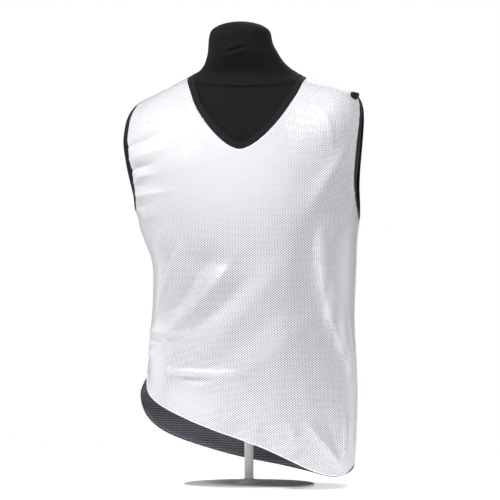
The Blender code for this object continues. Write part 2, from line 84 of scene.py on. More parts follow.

# One row for each crease: start, middle and end of its line, how
# far it lifts or sinks the cloth, the half width of its fade, how much wider
# it fades on the left of its run than on the right, and how pointed (1) or soft (2).
Crease = namedtuple(
    "Crease", "turn_1 height_1 turn_2 height_2 turn_3 height_3 lift half_width lean point"
)
FRONT_CREASES = (
    # The long fold down the wearer's left: a hollow with one steep side, and its crest
    Crease(311, 0.455, 314, 0.325, 341, 0.190, -0.0115, 0.0170, -0.75, 1.5),
    Crease(313, 0.452, 316, 0.325, 343, 0.188, 0.0062, 0.0036, 0.0, 1.2),
    Crease(303, 0.450, 302, 0.330, 308, 0.190, -0.0030, 0.0180, 0.0, 2.0),
    # The ridge at the waist on the wearer's right, and the hollow beside it
    Crease(238, 0.430, 231, 0.370, 215, 0.288, 0.0110, 0.0105, 0.70, 1.2),
    Crease(251, 0.410, 244, 0.350, 230, 0.285, -0.0040, 0.0140, 0.0, 2.0),
    Crease(226, 0.450, 222, 0.415, 218, 0.375, 0.0060, 0.0055, 0.6, 1.2),
    Crease(229, 0.262, 230, 0.205, 231, 0.145, 0.0050, 0.0060, 0.55, 1.3),
    # Short pulls above the hip
    Crease(203, 0.270, 221, 0.270, 246, 0.262, 0.0095, 0.0066, 0.3, 1.3),
    Crease(204, 0.255, 219, 0.252, 234, 0.243, -0.0060, 0.0060, 0.0, 2.0),
    Crease(204, 0.233, 217, 0.240, 232, 0.258, 0.0075, 0.0060, 0.0, 1.4),
    Crease(226, 0.204, 244, 0.203, 262, 0.200, 0.0088, 0.0034, 0.0, 1.1),
    Crease(228, 0.193, 248, 0.191, 270, 0.185, -0.0040, 0.0070, 0.0, 2.0),
    Crease(260, 0.202, 272, 0.199, 288, 0.188, 0.0066, 0.0034, 0.0, 1.1),
    # Drapes from the hip up to the middle
    Crease(227, 0.300, 244, 0.345, 258, 0.425, -0.0062, 0.0120, 0.0, 2.0),
    Crease(226, 0.262, 250, 0.322, 272, 0.420, 0.0095, 0.0100, 0.0, 1.5),
    Crease(236, 0.255, 261, 0.315, 283, 0.400, -0.0066, 0.0120, 0.0, 2.0),
    Crease(240, 0.212, 266, 0.280, 290, 0.385, 0.0050, 0.0110, 0.0, 1.7),
    Crease(246, 0.198, 274, 0.255, 298, 0.340, -0.0030, 0.0130, 0.0, 2.0),
    Crease(249, 0.180, 281, 0.225, 308, 0.300, 0.0030, 0.0120, 0.0, 1.8),
    Crease(266, 0.165, 290, 0.180, 316, 0.220, -0.0022, 0.0150, 0.0, 2.0),
    # Folds by the armhole on the wearer's right
    Crease(204, 0.622, 214, 0.628, 226, 0.640, 0.0016, 0.0080, 0.0, 1.7),
    Crease(203, 0.586, 213, 0.598, 224, 0.616, -0.0034, 0.0070, 0.0, 1.8),
    Crease(204, 0.563, 215, 0.574, 229, 0.590, 0.0026, 0.0080, 0.0, 1.7),
    Crease(203, 0.547, 213, 0.554, 225, 0.564, -0.0055, 0.0056, 0.0, 1.6),
    Crease(204, 0.531, 214, 0.539, 226, 0.545, 0.0038, 0.0058, 0.0, 1.5),
    Crease(204, 0.518, 212, 0.523, 221, 0.527, -0.0022, 0.0056, 0.0, 1.8),
    Crease(204, 0.498, 216, 0.507, 236, 0.515, 0.0036, 0.0064, 0.0, 1.5),
    Crease(206, 0.485, 215, 0.489, 226, 0.494, -0.0022, 0.0066, 0.0, 1.8),
    Crease(207, 0.464, 216, 0.470, 230, 0.473, 0.0024, 0.0080, 0.0, 1.6),
    # Where the chest turns in below the wearer's left shoulder
    Crease(338, 0.604, 321, 0.548, 300, 0.462, 0.0046, 0.0130, 0.0, 1.7),
    Crease(338, 0.560, 324, 0.505, 306, 0.440, -0.0050, 0.0160, 0.0, 2.0),
    Crease(345, 0.520, 333, 0.470, 321, 0.425, 0.0036, 0.0110, 0.0, 1.6),
    Crease(322, 0.660, 323, 0.615, 321, 0.560, 0.0014, 0.0060, 0.0, 1.8),
    # Below the chest the cloth falls in
    Crease(232, 0.418, 258, 0.390, 292, 0.415, -0.0060, 0.0220, 0.0, 2.0),
    # Waves at the lower hem
    Crease(257, 0.104, 264, 0.122, 274, 0.134, 0.0078, 0.0050, 0.0, 1.3),
    Crease(264, 0.094, 270, 0.110, 279, 0.124, -0.0030, 0.0056, 0.0, 1.9),
    Crease(275, 0.078, 278, 0.098, 281, 0.120, 0.0066, 0.0050, 0.0, 1.3),
    Crease(282, 0.074, 286, 0.092, 290, 0.110, -0.0032, 0.0062, 0.0, 1.9),
    Crease(289, 0.064, 299, 0.090, 294, 0.118, 0.0064, 0.0052, 0.0, 1.4),
    Crease(298, 0.056, 306, 0.080, 313, 0.108, -0.0030, 0.0074, 0.0, 1.9),
    Crease(305, 0.122, 315, 0.084, 328, 0.042, 0.0100, 0.0050, 0.0, 1.2),
    Crease(320, 0.130, 323, 0.090, 328, 0.060, -0.0046, 0.0076, 0.0, 2.0),
    Crease(333, 0.146, 332, 0.085, 329, 0.034, 0.0090, 0.0046, 0.0, 1.2),
    Crease(340, 0.135, 340, 0.090, 338, 0.050, -0.0036, 0.0070, 0.0, 2.0),
    Crease(345, 0.300, 346, 0.230, 350, 0.150, 0.0030, 0.0070, 0.0, 1.6),
)
BACK_CREASES = (
    # Long falls from the shoulder blades
    Crease(125, 0.520, 121, 0.400, 117, 0.260, 0.0060, 0.0090, 0.3, 1.5),
    Crease(112, 0.440, 108, 0.330, 104, 0.190, -0.0042, 0.0130, 0.0, 2.0),
    Crease(97, 0.480, 94, 0.350, 90, 0.200, 0.0042, 0.0100, -0.3, 1.6),
    Crease(68, 0.540, 61, 0.410, 54, 0.260, 0.0064, 0.0080, -0.4, 1.4),
    Crease(76, 0.420, 71, 0.320, 67, 0.200, -0.0042, 0.0120, 0.0, 2.0),
    Crease(36, 0.450, 31, 0.340, 25, 0.190, 0.0060, 0.0075, 0.4, 1.4),
    Crease(20, 0.420, 17, 0.330, 14, 0.220, -0.0036, 0.0110, 0.0, 2.0),
    # Pulls towards the hip that is drawn up
    Crease(162, 0.290, 136, 0.262, 108, 0.240, 0.0060, 0.0085, 0.3, 1.4),
    Crease(160, 0.240, 130, 0.205, 98, 0.172, 0.0052, 0.0090, -0.2, 1.5),
    Crease(156, 0.265, 128, 0.235, 104, 0.206, -0.0040, 0.0110, 0.0, 2.0),
    Crease(152, 0.175, 126, 0.140, 96, 0.108, 0.0046, 0.0100, 0.2, 1.7),
    Crease(146, 0.210, 116, 0.166, 84, 0.136, -0.0032, 0.0110, 0.0, 2.0),
    # Folds by the two armholes
    Crease(158, 0.556, 142, 0.549, 131, 0.556, 0.0042, 0.0070, 0.3, 1.4),
    Crease(158, 0.538, 144, 0.530, 130, 0.532, -0.0034, 0.0070, 0.0, 1.9),
    Crease(158, 0.518, 141, 0.506, 127, 0.502, 0.0042, 0.0075, 0.3, 1.5),
    Crease(22, 0.560, 38, 0.549, 49, 0.540, 0.0040, 0.0070, -0.3, 1.5),
    Crease(22, 0.540, 36, 0.528, 48, 0.520, -0.0032, 0.0070, 0.0, 1.9),
    Crease(22, 0.516, 38, 0.502, 52, 0.490, 0.0040, 0.0080, 0.3, 1.5),
    # Waves at the hem
    Crease(152, 0.165, 148, 0.125, 143, 0.085, 0.0036, 0.0070, 0.2, 1.5),
    Crease(128, 0.145, 124, 0.105, 121, 0.070, 0.0046, 0.0070, 0.3, 1.4),
    Crease(106, 0.130, 103, 0.090, 101, 0.055, -0.0034, 0.0090, 0.0, 1.9),
    Crease(88, 0.120, 84, 0.080, 81, 0.040, 0.0046, 0.0080, -0.3, 1.5),
    Crease(62, 0.130, 57, 0.080, 53, 0.025, 0.0052, 0.0070, 0.3, 1.4),
    Crease(71, 0.115, 68, 0.075, 66, 0.030, -0.0034, 0.0090, 0.0, 2.0),
)
# The gathered tuck in the form's neck cover, and the seam that runs up from it.
NECK_CREASES = (
    Crease(240, 0.7545, 257, 0.7600, 274, 0.7660, -0.0030, 0.0018, 0.0, 1.6),
    Crease(242, 0.7600, 256, 0.7665, 268, 0.7720, 0.0020, 0.0026, 0.0, 1.6),
    Crease(244, 0.7495, 260, 0.7545, 278, 0.7600, 0.0020, 0.0030, 0.0, 1.6),
    Crease(257, 0.7660, 254, 0.7715, 249, 0.7770, -0.0012, 0.0018, 0.0, 1.6),
    Crease(266, 0.7680, 275, 0.7705, 284, 0.7710, 0.0012, 0.0022, 0.0, 1.6),
    Crease(257, 0.7700, 258, 0.7880, 255, 0.8080, 0.0014, 0.0018, 0.0, 1.4),
    Crease(262, 0.7480, 268, 0.7360, 272, 0.7220, 0.0006, 0.0050, 0.0, 2.0),
)
CREASE_SAMPLES = 40
# How suddenly a crease fades at its ends: the lower, the more suddenly.
CREASE_ENDS = 0.7
# How much further in than the white layer the black one hangs, and how many of
# the white one's points around a place it keeps behind.
LINING_SLACK = 0.0006
LINING_REACH = 14
# Creases fade out this near a binding, so that the binding stays seated.
FADE_START = 0.002
FADE_END = 0.014

# The slack between the creases: long soft streaks, and finer ones on them.
Slack = namedtuple("Slack", "lift across up")
SLACKS = (Slack(0.0016, 24, 5), Slack(0.0005, 62, 14))

# Painted light and shade on the mesh: where the holes are drawn fainter, as a painted highlight
# where the satin glares: the place, its reach and the share lost. With a share below 0 they
# are drawn stronger, as painted shade in a hollow.
DotLightAndShade = namedtuple("DotLightAndShade", "turn height reach_round reach_up loss")
PAINTED_DOT_LIGHT_AND_SHADE = (
    DotLightAndShade(258, 0.560, 0.125, 0.100, 0.85),
    DotLightAndShade(212, 0.540, 0.050, 0.150, 0.70),
    DotLightAndShade(232, 0.680, 0.080, 0.040, 0.35),
    DotLightAndShade(218, 0.230, 0.030, 0.085, 0.85),
    DotLightAndShade(242, 0.150, 0.050, 0.035, 0.55),
    DotLightAndShade(218, 0.380, 0.022, 0.060, 0.60),
    DotLightAndShade(338, 0.340, 0.030, 0.110, 0.60),
    DotLightAndShade(345, 0.130, 0.025, 0.070, 0.60),
    DotLightAndShade(313, 0.390, 0.007, 0.055, 0.85),
    DotLightAndShade(318, 0.320, 0.008, 0.040, 0.85),
    DotLightAndShade(328, 0.265, 0.010, 0.035, 0.85),
    DotLightAndShade(337, 0.215, 0.010, 0.030, 0.85),
    DotLightAndShade(222, 0.262, 0.050, 0.018, 0.70),
    DotLightAndShade(250, 0.202, 0.055, 0.008, 0.70),
    DotLightAndShade(325, 0.665, 0.080, 0.045, 0.70),
    DotLightAndShade(90, 0.570, 0.130, 0.100, 0.50),
    DotLightAndShade(128, 0.230, 0.060, 0.080, 0.45),
    DotLightAndShade(303, 0.330, 0.036, 0.170, -0.75),
    DotLightAndShade(250, 0.370, 0.045, 0.060, -0.35),
    DotLightAndShade(268, 0.330, 0.020, 0.080, -0.35),
    DotLightAndShade(300, 0.160, 0.080, 0.090, -0.70),
)

# The seam where the cover's neck is set on its body: a plane that is lower in
# front, the lip that stands above it and how fast the lip fades upwards.
NECK_SEAM_HEIGHT = 0.7170
NECK_SEAM_SLOPE = 0.345
NECK_LIP = 0.0046
NECK_LIP_RISE = 0.0024
NECK_LIP_FADE = 0.0110
NECK_CUTS_FROM = 0.690


def linear(hex_colour):
    """An sRGB hex colour as linear red, green and blue."""
    parts = [int(hex_colour[i : i + 2], 16) / 255 for i in (1, 3, 5)]
    return tuple(
        part / 12.92 if part <= 0.04045 else ((part + 0.055) / 1.055) ** 2.4
        for part in parts
    )


def colour(name, description, hex_colour):
    return FloatVectorProperty(
        name=name,
        description=description,
        subtype="COLOR",
        size=3,
        min=0,
        max=1,
        default=linear(hex_colour),
    )


def length(name, description, metres):
    return FloatProperty(
        name=name, description=description, default=metres, unit="LENGTH", precision=5
    )


def fineness(name, description, levels):
    return IntProperty(name=name, description=description, default=levels, min=1, max=3)


class BibClothSizes(bpy.types.PropertyGroup):
    white_levels: fineness("White fineness", "Smoothing levels of the white panels", 3)
    black_levels: fineness("Black fineness", "Smoothing levels of the black panels", 2)
    cloth: length("Cloth", "Thickness of one layer of mesh", 0.0009)
    hem_roll: length("Hem roll", "Radius of the rolled hem of the white layer", 0.0014)
    black_hem_roll: length("Black hem roll", "Radius of the black layer's rolled hem", 0.0010)
    seam: length("Seam", "Radius of the side and shoulder seams", 0.0010)
    fold: length("Binding fold", "Rounding of the bindings' folded edges", 0.0008)
    stitch: length("Stitch", "Length of one stitch", 0.0026)
    stitch_pitch: length("Stitch pitch", "Distance from one stitch to the next", 0.0036)
    stitch_inset: length("Stitch inset", "From a binding's edge to its stitches", 0.0017)
    thread: length("Thread", "Radius of the sewing thread", 0.00028)


class BibKnitSizes(bpy.types.PropertyGroup):
    hole_across: length("Hole pitch across", "Distance from hole to hole along a row", 0.0053)
    hole_up: length("Hole pitch up", "From a row of holes to the second row above", 0.0040)
    course: length("Course pitch", "From row to row of the black mesh's ridges", 0.0042)
    rib: length("Rib pitch", "Distance from rib to rib of the bindings", 0.0011)
    jersey: length("Jersey pitch", "From stitch column to column of the cover", 0.0012)


class BibColours(bpy.types.PropertyGroup):
    white_thread: colour("White thread", "Satin thread of the white mesh", "#f7f7fb")
    white_gap: colour("White mesh gaps", "Black layer seen through the white", "#4a4b55")
    black_thread: colour("Black thread", "Thread of the black mesh", "#353740")
    black_gap: colour("Black mesh gaps", "White layer seen through the black", "#b4b7c2")
    binding: colour("Binding", "Black rib binding", "#17161b")
    stitching: colour("Stitching", "Black sewing thread", "#34343a")
    jersey: colour("Jersey", "Black jersey of the form's cover", "#101010")
    paint: colour("Paint", "White powder coat of the stand", "#fafafa")
    floor: colour("Floor", "Pale floor", "#fdfdfd")


class BibStage(bpy.types.PropertyGroup):
    azimuth: FloatProperty(
        name="Azimuth",
        description="How far the camera stands to the wearer's left",
        default=math.radians(8),
        subtype="ANGLE",
    )
    distance: length("Distance", "From the camera to the pole", 6.0)
    height: length("Height", "Height of the camera and its aim", 0.413)
    aside: length("Aside", "How far right of the pole the camera aims", 0.00175)
    view_width: length("View width", "Width of the view at the pole", 0.875)
    key: FloatProperty(name="Key light", description="Power, high at the left", default=38)
    chest: FloatProperty(name="Chest light", description="Power, high at the right", default=10)
    fill: FloatProperty(name="Fill light", description="Power, low in front", default=3)
    edge: FloatProperty(name="Edge lights", description="Power, beside and behind", default=4)
    back: FloatProperty(name="Back light", description="Power, high behind", default=18)
    sky: FloatProperty(name="Sky", description="Strength of the light all round", default=0.19)


def bmesh_of(node):
    """A CAD node's mesh with its loose triangles joined up."""
    bm = bmesh.new()
    bm.from_mesh(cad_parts[node].data)
    bmesh.ops.remove_doubles(bm, verts=bm.verts, dist=SAME_CORNER)
    return bm


def join_quads(bm):
    bmesh.ops.join_triangles(
        bm,
        faces=bm.faces,
        angle_face_threshold=QUAD_BEND,
        angle_shape_threshold=QUAD_SKEW,
    )


def islands_of(bm):
    """Groups of faces that share edges."""
    left = set(bm.faces)
    islands = []
    while left:
        group = [left.pop()]
        for face in group:
            for edge in face.edges:
                for other in edge.link_faces:
                    if other in left:
                        left.remove(other)
                        group.append(other)
        islands.append(group)
    return islands


def outwardness(faces):
    """How much of a group of faces looks out from the middle of the body."""
    total = 0.0
    for face in faces:
        centre = face.calc_center_median()
        middle = Vector((centre.x * 0.5, 0, min(centre.z, SHOULDER_MIDDLE)))
        total += face.calc_area() * face.normal.dot((centre - middle).normalized())
    return total


def outer_skin(node):
    """The outward side of a panel's wall, as quads with an open edge."""
    bm = bmesh_of(node)
    rim = [
        face
        for face in bm.faces
        if any(abs(edge.calc_length() - WALL) < WALL_TOLERANCE for edge in face.edges)
    ]
    bmesh.ops.delete(bm, geom=rim, context="FACES")
    sides = sorted(islands_of(bm), key=outwardness)
    for side in sides[:-1]:
        bmesh.ops.delete(bm, geom=side, context="FACES")
    join_quads(bm)
    return bm


def new_piece(name, bm, finish):
    mesh = bpy.data.meshes.new(name)
    bm.to_mesh(mesh)
    bm.free()
    mesh.shade_smooth()
    piece = bpy.data.objects.new(name, mesh)
    bpy.context.scene.collection.objects.link(piece)
    mesh.materials.append(finish)
    return piece


def make_active(piece):
    for other in bpy.context.selected_objects:
        other.select_set(False)
    piece.select_set(True)
    bpy.context.view_layer.objects.active = piece


def apply_smoothing(piece, levels):
    smooth = piece.modifiers.new("smooth", "SUBSURF")
    smooth.levels = smooth.render_levels = levels
    smooth.boundary_smooth = "PRESERVE_CORNERS"
    make_active(piece)
    bpy.ops.object.modifier_apply(modifier=smooth.name)


def points_of(mesh):
    flat = np.empty(len(mesh.vertices) * 3, np.float32)
    mesh.vertices.foreach_get("co", flat)
    return flat.reshape(-1, 3).astype(float)


def normals_of(mesh):
    flat = np.empty(len(mesh.vertices) * 3, np.float32)
    mesh.vertex_normals.foreach_get("vector", flat)
    return flat.reshape(-1, 3).astype(float)


def set_points(mesh, points):
    mesh.vertices.foreach_set("co", points.astype(np.float32).ravel())
    mesh.update()


# The middle of a panel, where its flat cut is set level: to each side, from and up to.
MIDDLE_REACH = 0.07
MIDDLE_FROM = 0.25
MIDDLE_TO = 0.55


def lay_flat(piece, sideways):
    """Unwraps a panel and turns its UV map to metres, v up the cloth, as it was cut."""
    make_active(piece)
    bpy.ops.object.mode_set(mode="EDIT")
    bpy.ops.mesh.select_all(action="SELECT")
    bpy.ops.uv.unwrap(method="ANGLE_BASED", margin=0)
    bpy.ops.object.mode_set(mode="OBJECT")
    mesh = piece.data
    layer = mesh.uv_layers.active
    flat = np.empty(len(mesh.loops) * 2, np.float32)
    layer.uv.foreach_get("vector", flat)
    charted = flat[0::2] + 1j * flat[1::2]
    vertex = np.empty(len(mesh.loops), np.int32)
    mesh.loops.foreach_get("vertex_index", vertex)
    points = points_of(mesh)[vertex]
    across, up = points[:, 0], points[:, 2]
    middle = (abs(across) < MIDDLE_REACH) & (up > MIDDLE_FROM) & (up < MIDDLE_TO)
    wanted = sideways * across + 1j * up
    from_middle = charted[middle].mean()
    to_middle = wanted[middle].mean()
    spread = charted[middle] - from_middle
    turn = (np.conj(spread) * (wanted[middle] - to_middle)).sum() / (abs(spread) ** 2).sum()
    laid = (charted - from_middle) * turn + to_middle
    flat[0::2] = laid.real
    flat[1::2] = laid.imag
    layer.uv.foreach_set("vector", flat)


def turns_of(points, oval):
    return np.degrees(np.arctan2(points[:, 1] / oval.deep, points[:, 0] / oval.wide)) % 360


def crease_line(crease, oval):
    """Points along a crease, and its strength, which fades at both ends."""
    t = np.linspace(0, 1, CREASE_SAMPLES)
    first = (1 - t) * (1 - 2 * t)
    second = 4 * t * (1 - t)
    third = t * (2 * t - 1)
    turns = first * crease.turn_1 + second * crease.turn_2 + third * crease.turn_3
    heights = first * crease.height_1 + second * crease.height_2 + third * crease.height_3
    return turns * oval.degree, heights, np.sin(np.pi * np.clip(t, 0.01, 0.99)) ** CREASE_ENDS


def crease_lift(points, creases, oval):
    """How far the creases lift each point, from its turn and height."""
    across = turns_of(points, oval) * oval.degree
    row = np.arange(len(points))
    lift = np.zeros(len(points))
    for crease in creases:
        line_across, line_up, strength = crease_line(crease, oval)
        right = across[:, None] - line_across
        up = points[:, 2:3] - line_up
        nearest = np.argmin(right**2 + up**2, axis=1)
        away = np.hypot(right[row, nearest], up[row, nearest])
        run_across = np.gradient(line_across)[nearest]
        run_up = np.gradient(line_up)[nearest]
        side = np.sign(run_across * up[row, nearest] - run_up * right[row, nearest])
        width = crease.half_width * (1 + crease.lean * side)
        lift += crease.lift * strength[nearest] * np.exp(-((away / width) ** crease.point))
    return lift


def slack_lift(points):
    """Streaks that are uneven and mostly upright."""
    lift = np.zeros(len(points))
    for slack in SLACKS:
        scale = np.array((slack.across, slack.across, slack.up))
        lift += slack.lift * np.array([noise.noise(Vector(place)) for place in points * scale])
    return lift


def tree_of(points):
    tree = KDTree(len(points))
    for i, point in enumerate(points):
        tree.insert(point, i)
    tree.balance()
    return tree


BAND_NODES = ("neck_band", "armhole_band_right", "armhole_band_left")
# A panel's edge that is no further than this from a band is sewn to it.
BESIDE_BAND = 0.0015


def band_fade(points):
    """From 0 beside a band to 1 away from it."""
    tree = tree_of(np.concatenate([points_of(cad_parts[node].data) for node in BAND_NODES]))
    away = np.array([tree.find(point)[2] for point in points])
    share = np.clip((away - FADE_START) / (FADE_END - FADE_START), 0, 1)
    return share * share * (3 - 2 * share)


def crease_panel(piece, creases):
    """Creases a white panel, and keeps where each point was and how far it was lifted."""
    points = points_of(piece.data)
    lift = crease_lift(points, creases, CLOTH_OVAL) + slack_lift(points)
    lift *= band_fade(points)
    set_points(piece.data, points + normals_of(piece.data) * lift[:, None])
    return tree_of(points), lift


def follow_panel(piece, creased):
    """Moves a black panel with the white one over it, by the least lift nearby, so that it
    stays behind the steep side of a crease."""
    tree, lift = creased
    points = points_of(piece.data)
    least = [
        min(lift[index] for _, index, _ in tree.find_n(point, LINING_REACH)) for point in points
    ]
    step = np.array(least) - LINING_SLACK
    set_points(piece.data, points + normals_of(piece.data) * step[:, None])


def paint_dot_light_and_shade(piece):
    """Writes how much of the holes shows at each point, as painted highlight where they show less
    and painted shade where they show more.
    """
    points = points_of(piece.data)
    turns = turns_of(points, CLOTH_OVAL)
    shown = np.ones(len(points))
    for dot_patch in PAINTED_DOT_LIGHT_AND_SHADE:
        round_it = (turns - dot_patch.turn) * CLOTH_OVAL.degree / dot_patch.reach_round
        up = (points[:, 2] - dot_patch.height) / dot_patch.reach_up
        shown *= 1 - dot_patch.loss * np.exp(-((round_it**2 + up**2) ** 1.5))
    layer = piece.data.attributes.new("holes_shown", "FLOAT", "POINT")
    layer.data.foreach_set("value", shown.astype(np.float32))


def give_thickness(piece, thickness):
    wall = piece.modifiers.new("thickness", "SOLIDIFY")
    wall.thickness = thickness
    wall.offset = -1
    wall.use_even_offset = False


def on_seam(point):
    return abs(point.y) < SEAM_REACH


def edge_runs(mesh):
    """The panel's open edge as runs of points: the seams, and the free edges between them."""
    bm = bmesh.new()
    bm.from_mesh(mesh)
    edge = next(edge for edge in bm.edges if edge.is_boundary)
    loop = [edge.verts[0]]
    while edge is not None:
        loop.append(edge.other_vert(loop[-1]))
        onward = [other for other in loop[-1].link_edges if other.is_boundary and other != edge]
        edge = onward[0] if loop[-1] != loop[0] else None
    points = [vert.co.copy() for vert in loop[:-1]]
    bm.free()
    turns = [i for i, point in enumerate(points) if on_seam(point) != on_seam(points[i - 1])]
    points = points[turns[0] :] + points[: turns[0] + 1]
    runs = [points[:1]]
    for before, point in zip(points, points[1:]):
        runs[-1].append(point)
        if on_seam(point) != on_seam(before):
            runs.append([point])
    # A run of a point or two is only where the edge crosses the plane.
    return [run for run in runs if len(run) > 3]


def mean_of(points):
    return sum(points, Vector()) / len(points)


def hem_of(mesh):
    free = [run for run in edge_runs(mesh) if not on_seam(run[len(run) // 2])]
    return min(free, key=lambda run: mean_of(run).z)


# Points this far apart carry a hem roll or a seam.
ROLL_PITCH = 0.003


def resampled(points, pitch):
    """Points this far apart along a line."""
    line = np.array(points)
    steps = np.linalg.norm(np.diff(line, axis=0), axis=1)
    lengths = np.concatenate([[0], np.cumsum(steps)])
    wanted = np.linspace(0, lengths[-1], max(int(lengths[-1] / pitch), 2) + 1)
    return [Vector(place) for place in zip(*(np.interp(wanted, lengths, axis) for axis in line.T))]


def tube(name, points, radius, finish):
    """A round roll of cloth along a line, as a mesh."""
    curve = bpy.data.curves.new(name, "CURVE")
    curve.dimensions = "3D"
    curve.bevel_depth = radius
    curve.bevel_resolution = 2
    curve.use_fill_caps = True
    spline = curve.splines.new("POLY")
    spline.points.add(len(points) - 1)
    for point, place in zip(spline.points, points):
        point.co = (*place, 1)
    guide = bpy.data.objects.new(name, curve)
    bpy.context.scene.collection.objects.link(guide)
    bpy.context.view_layer.update()
    laid = guide.evaluated_get(bpy.context.evaluated_depsgraph_get())
    mesh = bpy.data.meshes.new_from_object(laid)
    bpy.data.objects.remove(guide)
    mesh.materials.clear()
    mesh.materials.append(finish)
    mesh.shade_smooth()
    piece = bpy.data.objects.new(name, mesh)
    bpy.context.scene.collection.objects.link(piece)
    return piece


def seat(piece, slot, *nodes):
    """Rides the piece on the frame, in the place of these CAD nodes."""
    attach(piece, "root")
    if nodes:
        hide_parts(*nodes)
    return piece


def stitch_row(bm, line, panel_tree, band_tree, sizes):
    """Beads of thread along a panel's edge, set in from it on the binding beside it."""
    for before, place, after in zip(line, line[1:], line[2:]):
        away = (place - panel_tree.find(place)[0]).normalized()
        on_band, facing, _, _ = band_tree.find_nearest(place + away * sizes.stitch_inset)
        along = (after - before).normalized()
        across = facing.cross(along)
        turn = Matrix((along, across, facing)).transposed().to_4x4()
        size = Matrix.Diagonal((sizes.stitch / 2, sizes.thread, sizes.thread, 1))
        bmesh.ops.create_icosphere(
            bm, subdivisions=1, radius=1.0, matrix=Matrix.Translation(on_band) @ turn @ size
        )


def new_material(name):
    made = bpy.data.materials.new(name)
    made.use_nodes = True
    return made, made.node_tree, made.node_tree.nodes["Principled BSDF"]


def add_node(tree, kind, settings=None, inputs=None):
    """Adds a node, sets its properties, and sets or links its inputs."""
    node = tree.nodes.new("ShaderNode" + kind)
    for key, value in (settings or {}).items():
        setattr(node, key, value)
    for key, value in (inputs or {}).items():
        if isinstance(value, bpy.types.NodeSocket):
            tree.links.new(value, node.inputs[key])
        else:
            node.inputs[key].default_value = value
    return node


RGB_MIX = {"data_type": "RGBA"}
SMOOTH = {"interpolation_type": "SMOOTHSTEP"}
# How deep the knit and the ribs of the bindings are.
KNIT_RELIEF = 0.0003


def hole_pattern(tree, knit):
    """1 in the middle of each small hole of the mesh, in staggered rows, and 0 or less between,
    with the upright wales and the height up the cloth. The real holes are about 4 mm apart; they
    are drawn a third coarser so that they show."""
    place = add_node(tree, "UVMap").outputs[0]
    split = add_node(tree, "SeparateXYZ", None, {0: place})
    waves = []
    for axis, pitch in ((0, knit.hole_across), (1, knit.hole_up)):
        angle = add_node(
            tree, "Math", {"operation": "MULTIPLY"}, {0: split.outputs[axis], 1: math.tau / pitch}
        )
        wave = add_node(tree, "Math", {"operation": "COSINE"}, {0: angle.outputs[0]})
        waves.append(wave.outputs[0])
    both = add_node(tree, "Math", {"operation": "MULTIPLY"}, {0: waves[0], 1: waves[1]})
    return both.outputs[0], waves[0], split.outputs[1]


def white_tricot(colours, knit):
    """Warp-knitted polyester tricot with small holes: a satin thread that glares where the light
    meets it, and grey dots where the black layer shows through. The dots are drawn fainter as a
    painted highlight and stronger as painted shade, by a share set at each point."""
    made, tree, shader = new_material("white satin tricot mesh")
    holes, wales, _ = hole_pattern(tree, knit)
    mask = add_node(tree, "MapRange", SMOOTH, {"Value": holes, "From Min": 0.1, "From Max": 0.75})
    # The share of dots shown carries painted highlight and painted shade, set at each point of the
    # panel.
    shown = add_node(tree, "Attribute", {"attribute_name": "holes_shown"})
    share = add_node(
        tree, "Math", {"operation": "MULTIPLY"}, {0: mask.outputs[0], 1: shown.outputs["Fac"]}
    )
    base = add_node(
        tree,
        "Mix",
        RGB_MIX,
        {
            "Factor": share.outputs[0],
            "A": (*colours.white_thread, 1),
            "B": (*colours.white_gap, 1),
        },
    )
    ribs = add_node(tree, "Math", {"operation": "MULTIPLY"}, {0: wales, 1: 0.15})
    relief = add_node(
        tree, "Math", {"operation": "SUBTRACT"}, {0: ribs.outputs[0], 1: mask.outputs[0]}
    )
    bump = add_node(tree, "Bump", None, {"Height": relief.outputs[0], "Distance": KNIT_RELIEF})
    tree.links.new(base.outputs["Result"], shader.inputs["Base Color"])
    tree.links.new(bump.outputs[0], shader.inputs["Normal"])
    shader.inputs["Roughness"].default_value = 0.32
    shader.inputs["Specular IOR Level"].default_value = 0.8
    shader.inputs["Sheen Weight"].default_value = 0.1
    shader.inputs["Sheen Roughness"].default_value = 0.4
    return made


def black_tricot(colours, knit):
    """The same tricot in black: a duller thread in fine wavy courses, with light specks where
    the white layer shows through its holes."""
    made, tree, shader = new_material("black tricot mesh")
    holes, wales, height = hole_pattern(tree, knit)
    sway = add_node(tree, "Math", {"operation": "MULTIPLY"}, {0: wales, 1: 1.5})
    up = add_node(
        tree, "Math", {"operation": "MULTIPLY"}, {0: height, 1: math.tau / knit.course}
    )
    swayed = add_node(tree, "Math", {"operation": "ADD"}, {0: up.outputs[0], 1: sway.outputs[0]})
    course = add_node(tree, "Math", {"operation": "SINE"}, {0: swayed.outputs[0]})
    broken = add_node(
        tree, "Math", {"operation": "MULTIPLY_ADD"}, {0: holes, 1: 0.5, 2: course.outputs[0]}
    )
    mask = add_node(
        tree, "MapRange", SMOOTH, {"Value": broken.outputs[0], "From Min": -0.3, "From Max": 1.3}
    )
    base = add_node(
        tree,
        "Mix",
        RGB_MIX,
        {"Factor": mask.outputs[0], "A": (*colours.black_thread, 1), "B": (*colours.black_gap, 1)},
    )
    bump = add_node(tree, "Bump", None, {"Height": mask.outputs[0], "Distance": KNIT_RELIEF})
    tree.links.new(base.outputs["Result"], shader.inputs["Base Color"])
    tree.links.new(bump.outputs[0], shader.inputs["Normal"])
    shader.inputs["Roughness"].default_value = 0.55
    shader.inputs["Sheen Weight"].default_value = 0.1
    return made


